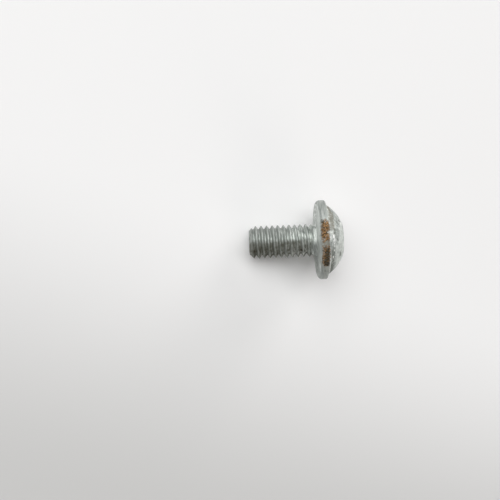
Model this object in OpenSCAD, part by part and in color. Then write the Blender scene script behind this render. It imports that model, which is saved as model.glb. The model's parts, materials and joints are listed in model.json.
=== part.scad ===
// Flanged dome head machine bolt with a six-lobe star drive, lying on its side.
// One cold-formed piece: dome, flange, plain neck and a rolled metric thread.
// The bolt is drawn upright, head up, and then laid down as it comes to rest.
// Origin: centre of the bearing face, under the flange. +X runs towards the head, +Z is up.

/* [Thread] */
// Nominal diameter of the thread
thread_d = 6; // [5:0.5:8]
// Distance from one crest to the next
thread_pitch = 1; // [0.8:0.05:1.25]
// How much less the crests measure than the nominal diameter
crest_allowance = 0.1; // [0:0.02:0.2]
// Half of the angle between the flanks of a groove
flank_angle = 30; // [25:1:35]
// Flat width at the bottom of a groove
root_flat = 0.2; // [0.1:0.05:0.3]
// Flat width on top of a crest
crest_flat = 0.12; // [0.08:0.02:0.2]

/* [Shank] */
// Length from the bearing face to the flat end
shank_len = 12; // [10:0.5:30]
// Length of the plain neck under the flange
neck_len = 0.65; // [0.5:0.05:3]
// How much thinner the neck is than the crests
neck_step = 0.4; // [0.2:0.05:0.8]
// Radius of the fillet between the neck and the bearing face
neck_fillet = 0.2; // [0.1:0.05:0.5]
// Length of the lead chamfer at the end of the thread
lead_len = 0.8; // [0.3:0.1:1]
// Angle of the lead chamfer to the axis
lead_angle = 45; // [30:1:45]

/* [Flange] */
// Diameter of the flange
flange_d = 14.2; // [13:0.1:18]
// Thickness of the flange
flange_t = 1.7; // [1.4:0.1:2.5]
// Rounding of the rim on the bearing side
rim_back_r = 0.8; // [0.3:0.05:0.9]
// Rounding of the rim on the dome side
rim_front_r = 0.3; // [0.1:0.05:0.4]

/* [Dome] */
// Width of the flat ledge between the foot of the dome and the rim
ledge_w = 0.7; // [0.65:0.05:1.5]
// Height of the dome above the flange
dome_h = 2.9; // [2.6:0.1:4]
// Width of the flat land on top, outside the lobe tips
land_w = 0.2; // [0.1:0.05:0.6]
// Radius of the fillet between the dome and the flange
dome_fillet = 0.2; // [0.1:0.05:0.25]

/* [Star drive] */
// Diameter across the lobe tips
lobe_d = 5.6; // [5:0.05:5.7]
// Depth of the flutes between the lobes
flute_depth = 0.825; // [0.75:0.025:0.9]
// Rounding of a lobe tip
lobe_r = 0.46; // [0.4:0.01:0.5]
// Depth of the straight walls below the land
drive_depth = 2.2; // [1.5:0.1:2.6]
// Width of the flat floor round the conical bottom
floor_w = 0.175; // [0.1:0.025:0.5]
// Angle of the conical bottom to the axis
drive_cone_angle = 60; // [55:1:75]

/* [Rest] */
// How far the bolt has rolled about its axis where it came to rest
rest_turn = 260.4; // [0:0.1:360]

/* [Hidden] */
$fn = 96;
eps = 0.01;

// Radii that the turned outlines use
crest_r = (thread_d - crest_allowance) / 2;
neck_r = crest_r - neck_step / 2;
flange_r = flange_d / 2;
dome_base_r = flange_r - ledge_w;
land_r = lobe_d / 2 + land_w;
end_r = crest_r - lead_len * tan(lead_angle);
head_h = flange_t + dome_h;

// Dome: one arc through its foot on the flange and the edge of the land
dome_centre_z = flange_t - (dome_base_r * dome_base_r - land_r * land_r - dome_h * dome_h) / (2 * dome_h);
dome_r = norm([dome_base_r, flange_t - dome_centre_z]);

// Fillet at the foot of the dome: centre beside the arc, and the height where it meets the arc
foot_z = flange_t + dome_fillet - dome_centre_z;
foot_x = sqrt(pow(dome_r + dome_fillet, 2) - foot_z * foot_z);
foot_h = dome_centre_z + foot_z * dome_r / (dome_r + dome_fillet) - flange_t;

// Groove: as wide at the crests as the pitch leaves, down to its flat root
groove_half = (thread_pitch - crest_flat) / 2;
groove_depth = (groove_half - root_flat / 2) / tan(flank_angle);
groove_root_r = crest_r - groove_depth;
flank_over = 0.05;
groove_over = 0.15;
steps_per_turn = 24;
fade_turns = 0.5;

// Groove's ends: most of a pitch past the flat end, and half a groove below the neck
start_turns = 0.83;
groove_start_z = -shank_len - start_turns * thread_pitch;
groove_end_z = -neck_len - groove_half;
groove_turns = (groove_end_z - groove_start_z) / thread_pitch;
groove_steps = ceil(groove_turns * steps_per_turn);

// Star outline: lobe tips, and flutes whose arcs meet them smoothly
lobes = 6;
half_lobe = 180 / lobes;
tip_x = lobe_d / 2 - lobe_r;
valley_x = lobe_d / 2 - flute_depth;
flute_top = tip_x * tip_x + valley_x * valley_x - 2 * tip_x * valley_x * cos(half_lobe) - lobe_r * lobe_r;
flute_r = flute_top / (2 * (lobe_r - valley_x + tip_x * cos(half_lobe)));
flute_x = valley_x + flute_r;
cone_r = valley_x - floor_w;

// Rest: the axis rises to the head until the rim and the last crest touch the floor
rest_rise = flange_r - rim_back_r - crest_r;
rest_run = shank_len - lead_len + rim_back_r;
rest_tilt = atan2(rest_rise, rest_run) + asin(rim_back_r / norm([rest_rise, rest_run]));

// What is cut away to round a square corner, the corner at the origin
module corner_cut(radius) {
    difference() {
        translate([-radius, -radius])
            square(radius + eps);
        translate([-radius, -radius])
            circle(r = radius);
    }
}

// Half section of the flange, rounded at both edges of its rim
module flange_section() {
    difference() {
        square([flange_r, flange_t]);
        translate([flange_r, flange_t])
            corner_cut(rim_front_r);
        translate([flange_r, 0])
            mirror([0, 1])
                corner_cut(rim_back_r);
    }
}

// Half section of the dome, with its land and the fillet at its foot
module dome_section() {
    intersection() {
        translate([0, dome_centre_z])
            circle(r = dome_r, $fn = 2 * $fn);
        translate([0, flange_t - eps])
            square([dome_base_r + dome_fillet, dome_h + eps]);
    }
    difference() {
        translate([0, flange_t - eps])
            square([foot_x, foot_h + eps]);
        translate([foot_x, flange_t + dome_fillet])
            circle(r = dome_fillet);
    }
}

// Half section of the neck, with the fillet up to the bearing face
module neck_section() {
    translate([0, -neck_len - eps])
        square([neck_r, neck_len + 2 * eps]);
    difference() {
        translate([0, -neck_fillet])
            square([neck_r + neck_fillet, neck_fillet + eps]);
        translate([neck_r + neck_fillet, -neck_fillet])
            circle(r = neck_fillet);
    }
}

// Half section of the thread before its groove is cut: crest diameter and lead chamfer
module blank_section() {
    shoulder = crest_r - neck_r;
    polygon([
        [0, -neck_len],
        [neck_r, -neck_len],
        [crest_r, -neck_len - shoulder],
        [crest_r, -shank_len + lead_len],
        [end_r, -shank_len],
        [0, -shank_len]
    ]);
}

// Distance that the groove is lifted outwards at a step, so that it runs out below the neck
function groove_lift(step) =
    let (left = (groove_steps - step) / steps_per_turn)
    left < fade_turns ? (groove_depth + flank_over / 2) * (1 - left / fade_turns) : 0;

// Corners of the groove's section, as radius and height from its middle
function groove_corners(step) =
    let (lift = groove_lift(step), open = groove_half + (flank_over - lift) * tan(flank_angle))
    [
        [groove_root_r + lift, -root_flat / 2],
        [crest_r + flank_over, -open],
        [crest_r + groove_over, -open],
        [crest_r + groove_over, open],
        [crest_r + flank_over, open],
        [groove_root_r + lift, root_flat / 2]
    ];

// The groove's section turned to its place on the helix
function groove_ring(step) =
    let (turn = 360 * step / steps_per_turn, z = groove_start_z + thread_pitch * step / steps_per_turn)
    [for (p = groove_corners(step)) [p[0] * cos(turn), p[0] * sin(turn), z + p[1]]];

// Right-hand helical groove, as one closed solid
module thread_groove() {
    sides = 6;
    rings = [for (step = [0 : groove_steps]) groove_ring(step)];
    walls = [
        for (i = [0 : groove_steps - 1], k = [0 : sides - 1])
            let (a = i * sides + k, b = i * sides + (k + 1) % sides)
            each [[a, b, a + sides], [b, b + sides, a + sides]]
    ];
    first = [for (k = [1 : sides - 2]) [0, k + 1, k]];
    last = [for (k = [1 : sides - 2]) [for (v = [0, k, k + 1]) groove_steps * sides + v]];
    polyhedron(points = [for (ring = rings) each ring], faces = concat(first, walls, last));
}

// Outline of the six-lobe drive: corners where the arcs meet, then the arcs themselves
module star_outline() {
    meet = lobe_r / (lobe_r + flute_r);
    tip = [tip_x, 0];
    flute = flute_x * [cos(half_lobe), sin(half_lobe)];
    joint = tip + meet * (flute - tip);
    joint_r = norm(joint);
    joint_a = atan2(joint[1], joint[0]);
    difference() {
        polygon([
            for (i = [0 : lobes - 1], side = [-1, 1])
                let (a = 2 * half_lobe * i + side * joint_a)
                joint_r * [cos(a), sin(a)]
        ]);
        for (i = [0 : lobes - 1])
            rotate(2 * half_lobe * i + half_lobe)
                translate([flute_x, 0])
                    circle(r = flute_r);
    }
    for (i = [0 : lobes - 1])
        rotate(2 * half_lobe * i)
            translate([tip_x, 0])
                circle(r = lobe_r);
}

// The space that the driver fills: straight walls and a conical bottom
module star_drive() {
    cone_h = cone_r / tan(drive_cone_angle);
    translate([0, 0, head_h - drive_depth])
        linear_extrude(drive_depth + eps)
            star_outline();
    translate([0, 0, head_h - drive_depth - cone_h])
        cylinder(h = cone_h, r1 = 0, r2 = cone_r);
}

// Head and neck, turned in one piece
module head() {
    difference() {
        rotate_extrude() {
            flange_section();
            dome_section();
            neck_section();
        }
        star_drive();
    }
}

// Threaded part of the shank
module thread() {
    difference() {
        rotate_extrude()
            blank_section();
        thread_groove();
    }
}

// The whole bolt, laid down on its rim and its last crest
module bolt() {
    color("silver")
        rotate([0, 90 - rest_tilt, 0])
            rotate([0, 0, rest_turn]) {
                head();
                thread();
            }
}

bolt();
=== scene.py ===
import json
import math

import bpy
from mathutils import Matrix, Vector


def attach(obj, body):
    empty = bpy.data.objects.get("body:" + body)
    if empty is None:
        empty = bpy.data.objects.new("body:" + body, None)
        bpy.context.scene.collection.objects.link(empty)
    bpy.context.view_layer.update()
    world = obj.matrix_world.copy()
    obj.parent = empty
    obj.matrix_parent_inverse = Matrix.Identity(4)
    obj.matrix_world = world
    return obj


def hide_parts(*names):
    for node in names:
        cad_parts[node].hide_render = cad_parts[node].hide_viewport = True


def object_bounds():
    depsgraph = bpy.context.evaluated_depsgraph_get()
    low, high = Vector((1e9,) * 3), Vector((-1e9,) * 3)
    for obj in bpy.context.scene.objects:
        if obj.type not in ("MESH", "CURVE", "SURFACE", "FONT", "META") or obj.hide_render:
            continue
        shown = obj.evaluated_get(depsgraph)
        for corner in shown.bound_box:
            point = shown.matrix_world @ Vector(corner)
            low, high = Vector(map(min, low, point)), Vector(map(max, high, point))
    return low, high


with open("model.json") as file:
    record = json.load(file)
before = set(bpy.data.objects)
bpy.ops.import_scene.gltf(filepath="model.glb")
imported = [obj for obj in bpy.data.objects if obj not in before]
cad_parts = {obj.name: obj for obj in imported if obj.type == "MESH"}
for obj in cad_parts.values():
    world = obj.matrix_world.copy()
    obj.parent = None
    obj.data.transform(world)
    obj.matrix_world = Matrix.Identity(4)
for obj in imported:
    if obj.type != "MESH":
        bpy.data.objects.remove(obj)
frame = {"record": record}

bl_info = {
    "name": "Star Drive Bolt",
    "version": (1, 0, 0),
    "blender": (4, 5, 0),
    "location": "3D View > Sidebar > Bolt",
    "description": "Models a worn zinc plated star drive bolt and the studio it lies in",
    "category": "Object",
}

# The bolt's own frame: Z along its axis to the head, origin in the middle of the bearing face.
# The model lies down by a turn about Y that the bearing face's mount gives.
MM = 0.001
MOUNTS = {mount["name"]: mount for mount in frame["record"]["mounts"]}
AXIS = Vector(MOUNTS["star_drive"]["axis"])
REST_TILT = math.atan2(AXIS.z, AXIS.x)
LAY_DOWN = math.pi / 2 - REST_TILT
CREST_R = MOUNTS["thread"]["dims"]["r_mm"] * MM
HEAD_H = Vector(MOUNTS["star_drive"]["pos_m"]).length
CAD_LOW, CAD_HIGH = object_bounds()
FLANGE_R = (CAD_HIGH.y - CAD_LOW.y) / 2


def linear(hex_colour):
    """An sRGB hex colour as the linear colour that nodes and lamps take."""
    parts = [int(hex_colour[i:i + 2], 16) / 255 for i in (1, 3, 5)]
    return tuple(p / 12.92 if p <= 0.04045 else ((p + 0.055) / 1.055) ** 2.4 for p in parts) + (1.0,)


class BoltSizes(bpy.types.PropertyGroup):
    """Sizes of the bolt, as its maker would give them."""

    def size(name, description, millimetres):
        return bpy.props.FloatProperty(
            name=name, description=description, default=millimetres * MM, unit="LENGTH", precision=5
        )

    pitch: size("Pitch", "Distance from one crest to the next", 1.0)
    crest_round: size("Crest rounding", "Radius on top of the rolled crests", 0.13)
    root_round: size("Root rounding", "Radius at the bottom of the thread", 0.16)
    crest_phase: size("Crest phase", "Place of a crest below the bearing face, on the floor side", 0.05)
    shank_len: size("Shank length", "From the bearing face to the flat end", 12.0)
    lead_len: size("Lead chamfer", "Length of the chamfer at the end of the thread", 0.8)
    neck_len: size("Neck length", "Length of the plain neck under the flange", 0.65)
    neck_step: size("Neck step", "How far the neck lies inside the crests", 0.2)
    neck_fillet: size("Neck fillet", "Fillet between the neck and the bearing face", 0.2)
    flange_t: size("Flange thickness", "Thickness of the flange", 1.7)
    rim_back_r: size("Rim rounding, back", "Rounding of the rim on the bearing side", 0.8)
    rim_front_r: size("Rim rounding, front", "Rounding of the rim on the dome side", 0.3)
    ledge_w: size("Ledge", "Flat ledge between the foot of the dome and the rim", 0.7)
    dome_fillet: size("Dome fillet", "Fillet at the foot of the dome", 0.2)
    lobe_d: size("Drive size", "Diameter across the lobe tips of the drive", 5.6)
    flute_depth: size("Flute depth", "Depth of the flutes between the lobes", 0.825)
    lobe_r: size("Lobe rounding", "Rounding of a lobe tip", 0.46)
    land_w: size("Land", "Flat land outside the lobe tips", 0.2)
    drive_depth: size("Drive depth", "Depth of the straight walls of the drive", 2.2)
    floor_w: size("Drive floor", "Flat floor round the conical bottom", 0.175)
    mouth_round: size("Mouth rounding", "Rounding round the mouth of the drive", 0.06)
    drive_turn: bpy.props.FloatProperty(
        name="Drive turn", description="How far the drive is turned about the axis where the bolt came to rest",
        default=math.radians(20.4), unit="ROTATION"
    )
    dents: size("Dents", "Depth of the dents from tumbling in the barrel", 0.02)
    dent_size: size("Dent size", "Width of a dent", 0.6)


class BoltFinish(bpy.types.PropertyGroup):
    """Colours of the finish and the studio."""

    def colour(name, description, hex_colour):
        return bpy.props.FloatVectorProperty(
            name=name, description=description, default=linear(hex_colour), size=4,
            subtype="COLOR", min=0.0, max=1.0
        )

    # Also the colour of the painted glints and of the painted highlight line
    zinc_bright_and_glint: colour("Zinc, rubbed", "Bare bright chips and rubbed edges", "#fbfcfa")
    # Also the colour of the painted highlights and reflections on neck and dome
    zinc_light_and_highlight: colour("Zinc, light", "Bright spangles of the plating", "#dbdfdb")
    zinc_mid: colour("Zinc, grey", "The plating between them", "#b7bcb8")
    # Also the colour of the painted shade on the dome and the flange
    zinc_dark_and_shade: colour("Zinc, dark", "Dull spangles of the plating", "#919692")
    # Colour of the grime in the thread's roots, and of the painted shade laid with it on the lower side
    grime: colour("Grime", "Oily dirt in the roots of the thread", "#4a4836")
    smudge: colour("Smudge", "Grey green dirt on the dome", "#686d65")
    stain: colour("Stain", "Brownish film at the foot of the dome", "#7a7668")
    rust_light: colour("Rust, light", "Fresh rust", "#a98254")
    rust_mid: colour("Rust, brown", "Older brown rust", "#654a2c")
    rust_dark: colour("Rust, black", "Pits in the rust", "#332d1b")
    floor: colour("Floor", "Pale paper that the bolt lies on", "#f2f2f2")
    floor_near: colour("Floor, near edge", "The paper where the light falls off", "#cbcbca")


# Turning steps round the axis
HEAD_STEPS = 288
THREAD_STEPS = 96
WELD = 1e-7
# How far the end stays inside the solid, whose round edges are coarser
INSIDE = 0.005 * MM


def deselect():
    """Leaves nothing selected, because an operator acts on all that is."""
    bpy.ops.object.select_all(action="DESELECT")


def draw_line(name, points, closed=False):
    """Draws a line from point to point by extruding one vertex, and leaves it in edit mode."""
    deselect()
    bpy.ops.mesh.primitive_plane_add(size=MM, location=(0, 0, 0))
    piece = bpy.context.object
    piece.name = piece.data.name = name
    bpy.ops.object.mode_set(mode="EDIT")
    bpy.ops.mesh.select_mode(type="VERT")
    bpy.ops.mesh.select_all(action="SELECT")
    bpy.ops.mesh.merge(type="CENTER")
    bpy.ops.transform.translate(value=points[0])
    for start, end in zip(points, points[1:]):
        bpy.ops.mesh.extrude_region_move(TRANSFORM_OT_translate={"value": Vector(end) - Vector(start)})
    if closed:
        bpy.ops.mesh.select_all(action="SELECT")
        bpy.ops.mesh.edge_face_add()
    return piece


def half_section(outline):
    """Points of a half section, given as radius and height, on the XZ plane."""
    return [Vector((radius, 0, height)) for radius, height in outline]


def turn(name, outline, steps):
    """Turns a half section into a closed solid, as on a lathe."""
    piece = draw_line(name, half_section(outline))
    bpy.ops.mesh.select_all(action="SELECT")
    bpy.ops.mesh.spin(steps=steps, angle=math.tau, center=(0, 0, 0), axis=(0, 0, 1))
    bpy.ops.mesh.select_all(action="SELECT")
    bpy.ops.mesh.remove_doubles(threshold=WELD)
    bpy.ops.mesh.normals_make_consistent(inside=False)
    bpy.ops.object.mode_set(mode="OBJECT")
    return piece


def arc(centre, radius, start, end, steps):
    """Points on an arc, its angles in degrees from the outward direction."""
    angles = [math.radians(start + (end - start) * i / steps) for i in range(steps + 1)]
    return [(centre[0] + radius * math.cos(a), centre[1] + radius * math.sin(a)) for a in angles]


def line(start, end, steps):
    """Points on a straight line, without its two ends."""
    return [
        tuple(a + (b - a) * i / steps for a, b in zip(start, end))
        for i in range(1, steps)
    ]


def boolean(piece, other, operation):
    """Joins, cuts or trims a piece with another, which is used up."""
    deselect()
    piece.select_set(True)
    bpy.context.view_layer.objects.active = piece
    tool = piece.modifiers.new(operation.title(), "BOOLEAN")
    tool.operation = operation
    tool.solver = "EXACT"
    tool.object = other
    bpy.ops.object.modifier_apply(modifier=tool.name)
    bpy.data.objects.remove(other)
    return piece


def close_seams():
    """Welds the seams that the joins left in the active piece, and closes the slits beside them."""
    bpy.ops.object.mode_set(mode="EDIT")
    bpy.ops.mesh.select_all(action="SELECT")
    bpy.ops.mesh.remove_doubles(threshold=WELD)
    bpy.ops.mesh.select_all(action="SELECT")
    bpy.ops.mesh.delete_loose(use_verts=True, use_edges=True, use_faces=False)
    bpy.ops.mesh.select_all(action="SELECT")
    bpy.ops.mesh.fill_holes(sides=0)
    bpy.ops.mesh.select_all(action="SELECT")
    bpy.ops.mesh.normals_make_consistent(inside=False)
    bpy.ops.object.mode_set(mode="OBJECT")


def dent(piece, sizes):
    """Dents a piece inwards, as the barrel does, and never outwards."""
    deselect()
    piece.select_set(True)
    bpy.context.view_layer.objects.active = piece
    clouds = bpy.data.textures.new("dents", "CLOUDS")
    clouds.noise_scale = sizes.dent_size
    clouds.noise_depth = 2
    press = piece.modifiers.new("Dents", "DISPLACE")
    press.texture = clouds
    press.mid_level = 1.0
    press.strength = sizes.dents
    bpy.ops.object.modifier_apply(modifier=press.name)
    return piece


def head_outline(sizes):
    """Half section of head and neck, from the top of the dome to below the neck."""
    land_r = sizes.lobe_d / 2 + sizes.land_w
    base_r = FLANGE_R - sizes.ledge_w
    dome_h = HEAD_H - sizes.flange_t
    below = (base_r ** 2 - land_r ** 2 - dome_h ** 2) / (2 * dome_h)
    dome_r = math.hypot(base_r, below)
    centre_z = sizes.flange_t - below
    foot_z = sizes.flange_t + sizes.dome_fillet - centre_z
    foot_x = math.sqrt((dome_r + sizes.dome_fillet) ** 2 - foot_z ** 2)
    foot_angle = math.degrees(math.atan2(foot_z, foot_x))
    land_angle = math.degrees(math.atan2(HEAD_H - centre_z, land_r))
    neck_r = CREST_R - sizes.neck_step
    root_r = CREST_R - 0.7 * sizes.pitch
    rim_front = (FLANGE_R - sizes.rim_front_r, sizes.flange_t - sizes.rim_front_r)
    rim_back = (FLANGE_R - sizes.rim_back_r, sizes.rim_back_r)
    neck_corner = (neck_r + sizes.neck_fillet, -sizes.neck_fillet)
    points = [(0, HEAD_H)]
    points += line((0, HEAD_H), (land_r, HEAD_H), 10)
    points += arc((0, centre_z), dome_r, land_angle, foot_angle, 40)
    points += arc((foot_x, sizes.flange_t + sizes.dome_fillet), sizes.dome_fillet, 180 + foot_angle, 270, 4)[1:]
    points += line(points[-1], (rim_front[0], sizes.flange_t), 3)
    points += arc(rim_front, sizes.rim_front_r, 90, 0, 6)
    points += line(points[-1], (FLANGE_R, rim_back[1]), 6)
    points += arc(rim_back, sizes.rim_back_r, 0, -90, 12)
    points += line(points[-1], (neck_corner[0], 0), 20)
    points += arc(neck_corner, sizes.neck_fillet, 90, 180, 4)
    points += line(points[-1], (neck_r, -sizes.neck_len), 5)
    points += [(neck_r, -sizes.neck_len), (root_r, -sizes.neck_len - 0.8 * sizes.pitch)]
    points += [(0, -sizes.neck_len - 0.8 * sizes.pitch)]
    return points


def thread_outline(sizes):
    """One pitch of the thread from crest to crest, its crest and root rounded, on 60 degree flanks."""
    flank = 60
    across = math.cos(math.radians(90 - flank))
    drop = (sizes.pitch / 2 - across * (sizes.crest_round + sizes.root_round)) * math.tan(math.radians(flank))
    depth = drop + (sizes.crest_round + sizes.root_round) * (1 - math.cos(math.radians(flank)))
    root_r = CREST_R - depth
    first = -sizes.crest_phase - (round(sizes.shank_len / sizes.pitch) + 2) * sizes.pitch
    crest_r = CREST_R - sizes.crest_round
    root_centre = (root_r + sizes.root_round, first + sizes.pitch / 2)
    half = arc((crest_r, first), sizes.crest_round, 0, flank, 4)
    half += [
        (x, z) for x, z in arc(root_centre, sizes.root_round, 180 + flank, 180, 4)
    ]
    other = [(x, 2 * root_centre[1] - z) for x, z in reversed(half[:-1])]
    return half + other


def rolled_thread(sizes):
    """Right-hand thread, wound from one pitch of its outline and closed at both ends."""
    outline = thread_outline(sizes)
    piece = draw_line("thread", half_section(outline))
    bpy.ops.object.mode_set(mode="OBJECT")
    turns = math.ceil((sizes.shank_len + 2 * sizes.pitch) / sizes.pitch) + 1
    wind = piece.modifiers.new("Wind", "SCREW")
    wind.axis = "Z"
    wind.angle = math.tau
    wind.screw_offset = sizes.pitch
    wind.iterations = turns
    wind.steps = wind.render_steps = THREAD_STEPS
    bpy.ops.object.modifier_apply(modifier=wind.name)
    bpy.ops.object.mode_set(mode="EDIT")
    bpy.ops.mesh.select_all(action="SELECT")
    bpy.ops.mesh.remove_doubles(threshold=10 * WELD)
    bpy.ops.mesh.select_all(action="DESELECT")
    bpy.ops.mesh.select_non_manifold(extend=False, use_wire=False, use_boundary=True,
                                     use_multi_face=False, use_non_contiguous=False, use_verts=False)
    bpy.ops.mesh.fill_holes(sides=0)
    bpy.ops.object.mode_set(mode="OBJECT")
    for face in piece.data.polygons:
        face.select = len(face.vertices) > 8
    bpy.ops.object.mode_set(mode="EDIT")
    bpy.ops.mesh.select_mode(type="FACE")
    bpy.ops.mesh.poke()
    bpy.ops.mesh.select_all(action="SELECT")
    bpy.ops.mesh.normals_make_consistent(inside=False)
    bpy.ops.object.mode_set(mode="OBJECT")
    return piece


def thread_limits(sizes):
    """Solid that trims the thread: flat end, lead chamfer, and a shoulder at the neck."""
    over = 0.15 * MM
    end_r = CREST_R - sizes.lead_len
    neck_r = CREST_R - sizes.neck_step
    inside = 0.1 * MM
    end = -sizes.shank_len + INSIDE
    outline = [
        (0, end),
        (end_r, end),
        (CREST_R + over, -sizes.shank_len + sizes.lead_len + over),
        (CREST_R + over, -sizes.neck_len - sizes.neck_step - over),
        (neck_r - inside, -sizes.neck_len + inside),
        (0, -sizes.neck_len + inside),
    ]
    return turn("thread_limits", outline, 2 * THREAD_STEPS)


def star_points(sizes, steps=8):
    """Outline of the six-lobe drive: each lobe tip and each flute is an arc, and they meet smoothly."""
    half_lobe = math.radians(30)
    tip_x = sizes.lobe_d / 2 - sizes.lobe_r
    valley_x = sizes.lobe_d / 2 - sizes.flute_depth
    top = tip_x ** 2 + valley_x ** 2 - 2 * tip_x * valley_x * math.cos(half_lobe) - sizes.lobe_r ** 2
    flute_r = top / (2 * (sizes.lobe_r - valley_x + tip_x * math.cos(half_lobe)))
    flute_x = valley_x + flute_r
    flute = Vector((flute_x * math.cos(half_lobe), flute_x * math.sin(half_lobe)))
    lean = math.degrees(math.atan2(flute.y, flute.x - tip_x))
    tip_arc = arc((tip_x, 0), sizes.lobe_r, -lean, lean, steps)
    flute_arc = arc(flute, flute_r, 180 + lean, 240 - lean, steps)[1:-1]
    points = []
    for lobe in range(6):
        spin = Matrix.Rotation(math.radians(60 * lobe), 2)
        points += [spin @ Vector(p) for p in tip_arc + flute_arc]
    return points


def drive_punch(sizes):
    """The punch that forms the drive: straight six-lobe walls that flare at the mouth."""
    bottom = HEAD_H - sizes.drive_depth
    outline = [Matrix.Rotation(sizes.drive_turn, 2) @ Vector(p) for p in star_points(sizes)]
    piece = draw_line("drive_punch", [Vector((*p, bottom)) for p in outline], closed=True)
    round_r = sizes.mouth_round
    rise = [(HEAD_H - round_r - bottom, 0.0)]
    rise += [
        (round_r * (math.sin(math.radians(a)) - math.sin(math.radians(a - 30))),
         round_r * (math.cos(math.radians(a - 30)) - math.cos(math.radians(a))))
        for a in (30, 60, 90)
    ]
    rise += [(HEAD_H / 4, 0.0)]
    reach = sizes.lobe_d / 2
    for up, out in rise:
        bpy.ops.mesh.extrude_region_move(TRANSFORM_OT_translate={"value": (0, 0, up)})
        grow = (reach + out) / reach
        bpy.ops.transform.resize(value=(grow, grow, 1), center_override=(0, 0, 0))
        reach += out
    bpy.ops.mesh.select_all(action="SELECT")
    bpy.ops.mesh.normals_make_consistent(inside=False)
    bpy.ops.object.mode_set(mode="OBJECT")
    return piece


def drive_cone(sizes):
    """The conical bottom of the drive."""
    cone_r = sizes.lobe_d / 2 - sizes.flute_depth - sizes.floor_w
    cone_h = cone_r / math.tan(math.radians(60))
    top = HEAD_H - sizes.drive_depth
    over = 0.02 * MM
    wide = cone_r * (cone_h + over) / cone_h
    return turn("drive_cone", [(0, top - cone_h), (wide, top + over), (0, top + over)], THREAD_STEPS)


class BOLT_OT_body(bpy.types.Operator):
    """Forms the bolt in one piece, rolls its thread, punches its drive and lays it down"""

    bl_idname = "bolt.body"
    bl_label = "Bolt"

    def execute(self, context):
        sizes = context.scene.bolt_sizes
        bolt = dent(rolled_thread(sizes), sizes)
        boolean(bolt, thread_limits(sizes), "INTERSECT")
        boolean(bolt, dent(turn("head", head_outline(sizes), HEAD_STEPS), sizes), "UNION")
        boolean(bolt, drive_punch(sizes), "DIFFERENCE")
        boolean(bolt, drive_cone(sizes), "DIFFERENCE")
        bolt.name = bolt.data.name = "star_drive_bolt"
        deselect()
        bolt.select_set(True)
        context.view_layer.objects.active = bolt
        close_seams()
        bolt.rotation_euler = (0, LAY_DOWN, 0)
        bpy.ops.object.transform_apply(location=True, rotation=True, scale=True)
        bpy.ops.object.shade_smooth_by_angle(angle=math.radians(35))
        bolt.data.materials.clear()
        bolt.data.materials.append(zinc_plated_steel(context.scene.bolt_finish))
        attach(bolt, "root")
        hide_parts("bolt")
        return {"FINISHED"}


def add(tree, kind, inputs=(), **settings):
    """Adds a node, sets it up, and gives each input a value or another node's result."""
    node = tree.nodes.new(kind)
    for name, value in settings.items():
        if name == "stops":
            elements = node.color_ramp.elements
            while len(elements) > 1:
                elements.remove(elements[-1])
            for index, (place, colour) in enumerate(value):
                element = elements[0] if index == 0 else elements.new(place)
                element.position = place
                element.color = colour
        else:
            setattr(node, name, value)
    for key, value in inputs.items() if isinstance(inputs, dict) else enumerate(inputs):
        if isinstance(value, bpy.types.Node):
            value = next(output for output in value.outputs if output.enabled)
        if isinstance(value, bpy.types.NodeSocket):
            tree.links.new(value, node.inputs[key])
        else:
            node.inputs[key].default_value = value
    return node


def new_material(name):
    """An empty material and its node tree, with a shader on its output."""
    material = bpy.data.materials.new(name)
    material.use_nodes = True
    tree = material.node_tree
    tree.nodes.clear()
    shader = add(tree, "ShaderNodeBsdfPrincipled")
    add(tree, "ShaderNodeOutputMaterial", {"Surface": shader})
    return material, tree, shader


WHITE = (1.0, 1.0, 1.0, 1.0)
PER_MM = 1 / MM

# Wear, dirt, painted highlights, glints and painted shade, each place as degrees round the axis and mm along it, with
# its half sizes in degrees and mm.
# 0 degrees is the upper side, where the camera looks; positive runs down the photograph.
RUST_PLACES = [(-13.0, 0.8, 18.0, 0.55), (-17.5, 1.4, 9.5, 0.5), (-2.5, 1.35, 6.0, 0.46),
               (17.5, 1.15, 10.5, 0.78), (30.0, 1.1, 12.5, 0.85)]
OLD_RUST_PLACES = [(24.0, 1.25, 16.0, 0.65), (33.0, 1.2, 9.0, 0.7), (-26.0, 0.6, 5.0, 0.3)]
PIT_PLACES = [(38.0, 1.3, 3.2, 0.24), (44.0, -2.82, 7.0, 0.26), (40.0, -11.1, 5.0, 0.1)]
STAIN_PLACES = [(-36.0, 2.3, 28.0, 0.6), (-64.0, 2.1, 14.0, 0.4), (5.5, 1.0, 5.5, 0.75)]
SMUDGE_PLACES = [(-47.0, 3.85, 8.0, 0.25), (-34.0, 3.3, 5.0, 0.2), (38.0, 3.8, 9.0, 0.26), (33.0, 2.35, 26.0, 0.36),
                 (-13.0, 2.75, 8.0, 0.35), (2.0, 3.2, 4.0, 0.3), (60.0, 2.2, 22.0, 0.6), (50.0, 0.92, 3.0, 0.1),
                 (8.0, -11.3, 14.0, 0.14)]
# Painted glints on bare spots of the plating: white specks round the foot of the dome, and one at the end of the
# thread
GLINT_AND_CHIP_PLACES = [(-4.0, 2.5, 3.4, 0.2), (1.6, 2.64, 2.8, 0.15), (3.6, 2.5, 2.0, 0.12), (8.4, 2.6, 1.6, 0.1),
               (12.4, 2.63, 1.4, 0.09), (20.0, 2.58, 1.8, 0.07), (31.5, 2.38, 2.2, 0.1), (14.0, -11.45, 2.0, 0.05)]
# Painted highlights and reflections: a light band at the neck and lighter places on the dome
PAINTED_HIGHLIGHT_PLACES = [(-22.0, -0.15, 34.0, 0.5), (42.0, 3.3, 26.0, 0.65), (2.0, 3.9, 24.0, 0.5), (10.0, 4.2, 60.0, 0.35),
                 (20.0, 3.3, 14.0, 0.65)]
# A thin painted highlight line round the foot of the dome, on the lower side
PAINTED_EDGE_LINE_PLACES = [(42.0, 1.9, 34.0, 0.05)]
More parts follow.
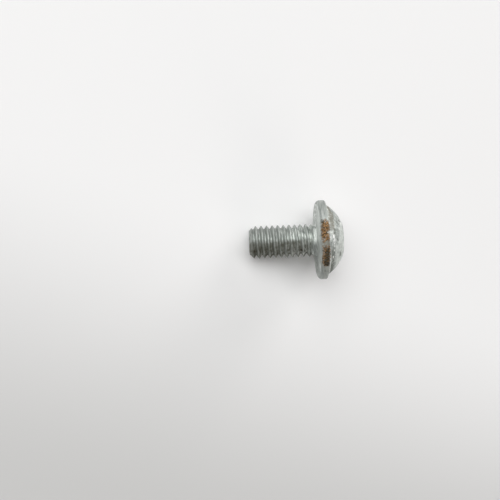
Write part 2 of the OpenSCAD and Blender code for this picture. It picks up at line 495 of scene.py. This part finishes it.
# Painted shade: darker places on the dome towards the top of the view, and on flange and dome along the bottom
PAINTED_SHADE_PLACES = [(-60.0, 3.1, 30.0, 1.2), (80.0, 0.3, 38.0, 1.8), (85.0, 2.6, 20.0, 0.8)]


def patches(tree, around, edge, places, soft):
    """Mask of listed places, for wear and dirt and for painted highlights and shade; the edge, a noise about 1,
    breaks their outlines.
    """
    whole = None
    for angle, height, half_angle, half_height in places:
        centre = add(tree, "ShaderNodeMapping", {
            "Vector": around, "Location": (angle, height, 0), "Scale": (half_angle, half_height, 1),
        }, vector_type="TEXTURE")
        square = add(tree, "ShaderNodeVectorMath", (centre, centre), operation="MULTIPLY")
        reach = add(tree, "ShaderNodeVectorMath", [square], operation="LENGTH").outputs["Value"]
        inside = add(tree, "ShaderNodeMath", (edge, reach), operation="SUBTRACT")
        mask = add(tree, "ShaderNodeMapRange", {"Value": inside, "From Max": soft}, interpolation_type="SMOOTHSTEP")
        whole = add(tree, "ShaderNodeMath", (whole, mask), operation="MAXIMUM") if whole else mask
    return whole


def zinc_plated_steel(finish):
    """Steel, cold-formed and zinc plated in a barrel: dull grey spangles, grime in the roots with painted shade on
    the lower side, rust on the rim, and painted highlights, glints and shade.
    """
    material, tree, shader = new_material("Zinc Plated Steel, Barrel Plated and Worn")

    def math_node(operation, *values, **settings):
        return add(tree, "ShaderNodeMath", values, operation=operation, **settings)

    def noise(vector, size_mm, detail=2.0, roughness=0.5, **settings):
        return add(tree, "ShaderNodeTexNoise",
                   {"Vector": vector, "Scale": 1 / size_mm, "Detail": detail, "Roughness": roughness}, **settings)

    def spread(value, low, high, to_low=0.0, to_high=1.0):
        return add(tree, "ShaderNodeMapRange", {"Value": value, "From Min": low, "From Max": high,
                                                "To Min": to_low, "To Max": to_high})

    def paint(amount, under, over):
        return add(tree, "ShaderNodeMix", {0: amount, 6: under, 7: over}, data_type="RGBA", clamp_factor=True)

    # Place in the bolt's own frame, in mm: radius, height, and degrees round the axis
    place = add(tree, "ShaderNodeTexCoord").outputs["Object"]
    upright = add(tree, "ShaderNodeMapping", {"Vector": place, "Rotation": (0, -LAY_DOWN, 0),
                                              "Scale": (1, 1, 1)}, vector_type="POINT")
    in_mm = add(tree, "ShaderNodeVectorMath", {0: upright, "Scale": PER_MM}, operation="SCALE")
    parts = add(tree, "ShaderNodeSeparateXYZ", [in_mm])
    height = parts.outputs["Z"]
    flat = add(tree, "ShaderNodeVectorMath", (in_mm, (1, 1, 0)), operation="MULTIPLY")
    radius = add(tree, "ShaderNodeVectorMath", [flat], operation="LENGTH").outputs["Value"]
    back = add(tree, "ShaderNodeVectorMath", {0: in_mm, "Scale": -1.0}, operation="SCALE")
    back_parts = add(tree, "ShaderNodeSeparateXYZ", [back])
    turned = math_node("ARCTAN2", back_parts.outputs["Y"], back_parts.outputs["X"])
    degrees = math_node("MULTIPLY", turned, math.degrees(1))
    around = add(tree, "ShaderNodeCombineXYZ", (degrees, height, 0.0))

    # Streaks run round the axis, from turning in the die and from rolling
    outward = add(tree, "ShaderNodeVectorMath", [flat], operation="NORMALIZE")
    climb = math_node("ADD", height, radius)
    rise = add(tree, "ShaderNodeCombineXYZ", (0.0, 0.0, math_node("MULTIPLY", climb, 5.5)))
    streak_place = add(tree, "ShaderNodeVectorMath",
                       (add(tree, "ShaderNodeVectorMath", {0: outward, "Scale": 2.4}, operation="SCALE"), rise),
                       operation="ADD")
    streak = noise(streak_place, 1.0, 3.0, 0.65)

    # Spangles of a third of a millimetre, under a finer grain; on rim, neck and thread they are drawn into streaks
    cloud = noise(in_mm, 1.7, 2.0, 0.5)
    spangle = noise(in_mm, 0.72, 3.0, 0.6)
    grain = noise(in_mm, 0.22, 2.0, 0.6)
    fine = noise(in_mm, 0.3, 4.0, 0.8)
    edge = spread(noise(in_mm, 0.5, 4.0, 0.75), 0.3, 0.7, 0.4, 1.6)
    mottle = math_node("ADD", math_node("MULTIPLY", spangle, 0.6), math_node("MULTIPLY", grain, 0.2))
    mottle = math_node("ADD", mottle, math_node("MULTIPLY", cloud, 0.2))
    drawn = math_node("ADD", math_node("MULTIPLY", streak, 0.75), math_node("MULTIPLY", mottle, 0.25))
    below = spread(height, 1.75, 1.6)
    blend = add(tree, "ShaderNodeMix", {0: below, 2: mottle, 3: drawn})
    zinc = add(tree, "ShaderNodeValToRGB", [blend], stops=[
        (0.38, finish.zinc_dark_and_shade), (0.48, finish.zinc_mid), (0.58, finish.zinc_light_and_highlight), (0.68, finish.zinc_bright_and_glint)])

    # Smudges, stains, painted glints on bare spots of the plating and a painted highlight line, all outside the
    # drive; also painted highlights and painted shade
    outside = math_node("MAXIMUM", spread(radius, 2.95, 3.1), spread(height, 0.0, -0.1))
    smudge = math_node("MULTIPLY", patches(tree, around, edge, SMUDGE_PLACES, 0.9), outside)
    stain = math_node("MULTIPLY", patches(tree, around, edge, STAIN_PLACES, 0.9), outside)
    # Painted highlights and reflections at the neck and on the dome
    bright = patches(tree, around, edge, PAINTED_HIGHLIGHT_PLACES, 0.9)
    # Painted glints on bare spots of the plating
    glint_and_chip = patches(tree, around, spread(fine, 0.3, 0.7, 0.5, 1.5), GLINT_AND_CHIP_PLACES, 0.5)
    # A thin painted highlight line round the foot of the dome, on the lower side
    rubbed = patches(tree, around, spread(fine, 0.3, 0.7, 0.8, 1.2), PAINTED_EDGE_LINE_PLACES, 0.4)
    rim = math_node("MULTIPLY", spread(height, 1.72, 1.66), spread(radius, 6.7, 6.9))
    colour = paint(math_node("MULTIPLY", rim, 0.55), zinc, finish.zinc_dark_and_shade)
    # Painted shade: darker zinc on the dome towards the top of the view, and on flange and dome along the bottom
    painted_shade_patch = patches(tree, around, edge, PAINTED_SHADE_PLACES, 0.9)
    colour = paint(math_node("MULTIPLY", painted_shade_patch, 0.55), colour, finish.zinc_dark_and_shade)
    # Painted highlights, laid in the light zinc colour
    colour = paint(math_node("MULTIPLY", bright, 0.65), colour, finish.zinc_light_and_highlight)
    colour = paint(math_node("MULTIPLY", smudge, 0.7), colour, finish.smudge)
    colour = paint(math_node("MULTIPLY", stain, 0.7), colour, finish.stain)
    # Painted glints and the painted highlight line, in the brightest zinc
    glint_and_chip = math_node("MULTIPLY", math_node("MAXIMUM", glint_and_chip, rubbed), outside)
    colour = paint(glint_and_chip, colour, finish.zinc_bright_and_glint)

    # The plating is duller towards the end of the thread
    colour = paint(spread(height, -3.5, -7.5, 0.0, 0.6), colour, finish.zinc_dark_and_shade)

    # Grime lies in the roots of the thread; towards the lower side, turned from the window lamp, it is painted shade
    # as well and spreads onto the crests
    root = spread(radius, 2.95, 2.62)
    shank = spread(height, -0.9, -1.3)
    # Painted shade: the film grows from a tenth to its full strength towards the lower side, which is turned from the
    # window lamp
    lower_side_shade = add(tree, "ShaderNodeMapRange", {"Value": degrees, "From Min": -12.0, "From Max": 14.0,
                                                "To Min": 0.1, "To Max": 1.0}, interpolation_type="SMOOTHSTEP")
    lower_side_shade = math_node("MULTIPLY", lower_side_shade, spread(height, -11.99, -11.97, 0.0, 1.0))
    far_end = spread(height, -4.5, -7.0, 0.85, 1.0)
    patchy = spread(blend, 0.42, 0.56, 1.0, 0.55)
    film = spread(root, 0.0, 1.0, 0.58, 0.9)
    grimy_and_shaded = math_node("MULTIPLY", math_node("MULTIPLY", film, shank), math_node("MULTIPLY", lower_side_shade, patchy))
    colour = paint(math_node("MULTIPLY", grimy_and_shaded, far_end), colour, finish.grime)

    # Rust has broken through the plating on the rim, with islands of zinc left in it
    island = spread(fine, 0.56, 0.66, 1.0, 0.35)
    on_rim = spread(radius, 6.1, 6.3)
    torn = spread(noise(in_mm, 0.34, 5.0, 0.8), 0.3, 0.7, 0.25, 1.75)
    rust = math_node("MULTIPLY", patches(tree, around, torn, RUST_PLACES, 0.6), math_node("MULTIPLY", island, on_rim))
    old = patches(tree, around, edge, OLD_RUST_PLACES, 0.8)
    pit = math_node("MULTIPLY", patches(tree, around, edge, PIT_PLACES, 0.5), outside)
    crust = noise(in_mm, 0.26, 3.0, 0.75)
    shade = math_node("SUBTRACT", crust, math_node("MULTIPLY", old, 0.13))
    rusty = add(tree, "ShaderNodeValToRGB", [shade],
                stops=[(0.38, finish.rust_dark), (0.48, finish.rust_mid), (0.61, finish.rust_light)])
    colour = paint(rust, colour, rusty)
    colour = paint(math_node("MULTIPLY", pit, 0.9), colour, finish.rust_dark)

    bare = math_node("SUBTRACT", 1.0, math_node("MAXIMUM", rust, math_node("MULTIPLY", pit, 0.9)))
    # The dirt counted here includes the grime with its painted shade
    dirt = math_node("MAXIMUM", grimy_and_shaded, math_node("MAXIMUM", stain, smudge))
    clean = math_node("SUBTRACT", 1.0, math_node("MULTIPLY", dirt, 0.6))
    metal = math_node("MULTIPLY", bare, clean)
    dull = math_node("SUBTRACT", 0.95, math_node("MULTIPLY", metal, spread(blend, 0.38, 0.62, 0.34, 0.46)))
    rough = math_node("MULTIPLY_ADD", bright, 0.14, dull)
    relief = math_node("ADD", blend, math_node("MULTIPLY", rust, math_node("MULTIPLY", crust, 1.5)))
    bump = add(tree, "ShaderNodeBump", {"Height": relief, "Strength": 0.6, "Distance": 0.06 * MM})
    for socket, value in (("Base Color", colour), ("Metallic", metal), ("Roughness", rough), ("Normal", bump)):
        result = next(output for output in value.outputs if output.enabled)
        tree.links.new(result, shader.inputs[socket])
    return material


def pale_paper(finish):
    """Matt white paper: a soft grey white with no gloss, with painted shade that darkens it towards its near edge,
    where the light falls off.
    """
    material, tree, shader = new_material("Pale Paper, Matt")
    place = add(tree, "ShaderNodeTexCoord").outputs["Object"]
    # Painted shade: the light's falloff towards the near edge, laid into the paper's colour
    near = add(tree, "ShaderNodeVectorMath", (place, (-0.4, -1.0, 0.0)), operation="DOT_PRODUCT").outputs["Value"]
    fall = add(tree, "ShaderNodeMapRange", {"Value": near, "From Min": 0.0, "From Max": 62 * MM},
               interpolation_type="SMOOTHSTEP")
    shade = add(tree, "ShaderNodeMix", {0: fall, 6: finish.floor, 7: finish.floor_near}, data_type="RGBA")
    tree.links.new(shade.outputs[2], shader.inputs["Base Color"])
    shader.inputs["Roughness"].default_value = 0.9
    shader.inputs["Specular IOR Level"].default_value = 0.0
    return material


# The photographed view: the lens looks down at right angles to the shank, a little left of its end
PHOTO_SIZE = 500
PX_PER_MM = 5.54
FOCAL_PX = 550
SENSOR_MM = 36
AIM_BELOW_FACE = 11.94 * MM
AIM_BESIDE_AXIS = 1.33 * MM
LEAN_TO_HEAD = 0.03
LEAN_TO_FRONT = math.radians(0)
ROLL = math.radians(2.3)


# Lamps as the shadow in the photograph gives them: degrees round from +X, degrees up, size in m, power in W, colour
LAMP_AWAY = 0.9
LAMPS = [
    ("window", 135, 60, 1.0, 9.4, "#ffffff"),
    ("far_wall", 45, 20, 0.5, 2.8, "#fffcfa"),
    ("head_side", 0, 60, 0.6, 1.2, "#ffffff"),
    ("near_wall", 290, 20, 0.5, 1.4, "#fff5ec"),
]
# How bright the walls are that the metal mirrors, on the near side and on the far side
ROOM_NEAR = 0.1
ROOM_FAR = 0.6
ROOM_SEEN = 0.88


class BOLT_OT_stage(bpy.types.Operator):
    """Lays the paper, hangs the soft lights and sets the camera where the photograph was taken"""

    bl_idname = "bolt.stage"
    bl_label = "Stage"

    def execute(self, context):
        scene = context.scene
        deselect()
        bpy.ops.mesh.primitive_grid_add(size=6.0, x_subdivisions=8, y_subdivisions=8, location=(0, 0, CAD_LOW.z))
        paper = context.object
        paper.name = "paper"
        bpy.ops.object.transform_apply(location=True, rotation=True, scale=True)
        paper.data.materials.append(pale_paper(scene.bolt_finish))

        world = bpy.data.worlds.new("Soft Room")
        scene.world = world
        world.use_nodes = True
        room = world.node_tree
        room.nodes["Background"].inputs["Color"].default_value = WHITE
        rays = add(room, "ShaderNodeLightPath").outputs
        far = add(room, "ShaderNodeSeparateXYZ", [add(room, "ShaderNodeTexCoord").outputs["Generated"]]).outputs["Y"]
        walls = add(room, "ShaderNodeMapRange", {"Value": far, "From Min": -0.5, "From Max": 0.5,
                                                 "To Min": ROOM_NEAR, "To Max": ROOM_FAR})
        mirrored = add(room, "ShaderNodeMath", (rays["Is Glossy Ray"], walls), operation="MULTIPLY")
        seen = add(room, "ShaderNodeMath", (rays["Is Camera Ray"], ROOM_SEEN, mirrored), operation="MULTIPLY_ADD")
        room.links.new(seen.outputs["Value"], room.nodes["Background"].inputs["Strength"])

        for lamp in LAMPS:
            place_light(*lamp)

        context.scene.camera = photo_camera()
        scene.view_settings.view_transform = "Standard"
        return {"FINISHED"}


def place_light(name, compass, elevation, size, power, colour):
    """A square soft light that faces the bolt from a direction, in degrees round from +X and up from the floor."""
    deselect()
    compass, elevation = math.radians(compass), math.radians(elevation)
    level = math.cos(elevation)
    place = LAMP_AWAY * Vector((level * math.cos(compass), level * math.sin(compass), math.sin(elevation)))
    bpy.ops.object.light_add(type="AREA", location=place)
    lamp = bpy.context.object
    lamp.name = name
    lamp.data.shape = "SQUARE"
    lamp.data.size = size
    lamp.data.energy = power
    lamp.data.color = linear(colour)[:3]
    lamp.rotation_euler = place.to_track_quat("Z", "Y").to_euler()
    return lamp


def photo_camera():
    """The photograph's camera, placed by what it sees of the bolt."""
    side = Vector((0, 1, 0))
    over = AXIS.cross(side)
    if over.z < 0:
        over = -over
    over, side = (
        math.cos(LEAN_TO_FRONT) * over - math.sin(LEAN_TO_FRONT) * side,
        math.cos(LEAN_TO_FRONT) * side + math.sin(LEAN_TO_FRONT) * over,
    )
    back = math.sin(LEAN_TO_HEAD) * AXIS + math.cos(LEAN_TO_HEAD) * over
    right = math.cos(LEAN_TO_HEAD) * AXIS - math.sin(LEAN_TO_HEAD) * over
    aim = -AIM_BELOW_FACE * AXIS - AIM_BESIDE_AXIS * side
    image_x = math.cos(ROLL) * right - math.sin(ROLL) * side
    image_y = math.sin(ROLL) * right + math.cos(ROLL) * side
    deselect()
    bpy.ops.object.camera_add(location=aim + FOCAL_PX / PX_PER_MM * MM * back)
    camera = bpy.context.object
    camera.name = "photo_camera"
    camera.rotation_euler = Matrix((image_x, image_y, back)).transposed().to_euler()
    camera.data.sensor_width = SENSOR_MM
    camera.data.lens = FOCAL_PX / PHOTO_SIZE * SENSOR_MM
    camera.data.clip_start = MM
    camera.data.clip_end = 20
    return camera


class BOLT_PT_panel(bpy.types.Panel):
    """Lists the bolt's operators, sizes and colours"""

    bl_label = "Star Drive Bolt"
    bl_idname = "BOLT_PT_panel"
    bl_space_type = "VIEW_3D"
    bl_region_type = "UI"
    bl_category = "Bolt"

    def draw(self, context):
        for operator in (BOLT_OT_body, BOLT_OT_stage):
            self.layout.operator(operator.bl_idname)
        for group in (context.scene.bolt_sizes, context.scene.bolt_finish):
            for name in group.__annotations__:
                self.layout.prop(group, name)


CLASSES = (BoltSizes, BoltFinish, BOLT_OT_body, BOLT_OT_stage, BOLT_PT_panel)


def register():
    for cls in CLASSES:
        bpy.utils.register_class(cls)
    bpy.types.Scene.bolt_sizes = bpy.props.PointerProperty(type=BoltSizes)
    bpy.types.Scene.bolt_finish = bpy.props.PointerProperty(type=BoltFinish)


def unregister():
    del bpy.types.Scene.bolt_finish
    del bpy.types.Scene.bolt_sizes
    for cls in reversed(CLASSES):
        bpy.utils.unregister_class(cls)


def main():
    register()
    bpy.ops.bolt.body()
    bpy.ops.bolt.stage()


if __name__ == "__main__":
    main()
